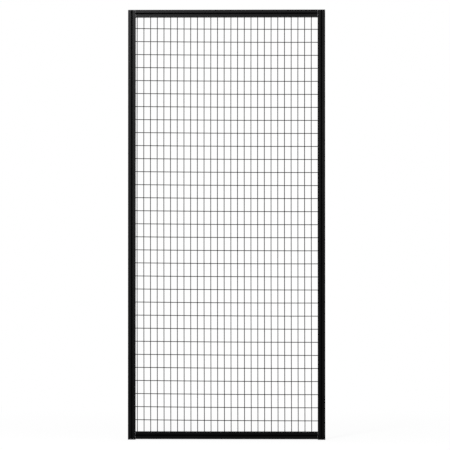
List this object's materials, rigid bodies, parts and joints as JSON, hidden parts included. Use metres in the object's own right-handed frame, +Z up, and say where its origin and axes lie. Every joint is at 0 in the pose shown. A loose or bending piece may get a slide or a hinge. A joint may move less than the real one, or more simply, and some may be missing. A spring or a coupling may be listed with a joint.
{
  "type": "machine guard fence panel",
  "caption": "Tall guard panel: a frame of slotted black aluminium extrusion that holds a sheet of black welded wire mesh, to stop hands and people reaching a machine.",
  "frame": {"origin": "on the left post's outer side face, in the middle of the lip behind the slot, at half the panel's height; the face is the one that is bolted to what holds the panel", "axes": "+X along the panel's width from the left post to the right post, +Y to the panel's rear, +Z up"},
  "size_m": [1, 0.0381, 2.18],
  "materials": {
    "black_aluminium": "black powder coat, satin",
    "black_wire": "black coating, semi-matt",
    "black_plastic": "black moulded plastic, fine grain",
    "zinc_steel": "zinc plated"
  },
  "bodies": {
    "root": {"left_post": "black_aluminium", "right_post": "black_aluminium", "top_rail": "black_aluminium", "bottom_rail": "black_aluminium", "mesh_lower": "black_wire", "mesh_middle": "black_wire", "mesh_upper": "black_wire", "cap_top_left": "black_plastic", "cap_top_right": "black_plastic", "cap_bottom_left": "black_plastic", "cap_bottom_right": "black_plastic", "anchor_top_left": "zinc_steel", "anchor_top_right": "zinc_steel", "anchor_bottom_left": "zinc_steel", "anchor_bottom_right": "zinc_steel", "screw_top_left": "zinc_steel", "screw_top_right": "zinc_steel", "screw_bottom_left": "zinc_steel", "screw_bottom_right": "zinc_steel"}
  },
  "joints": []
}
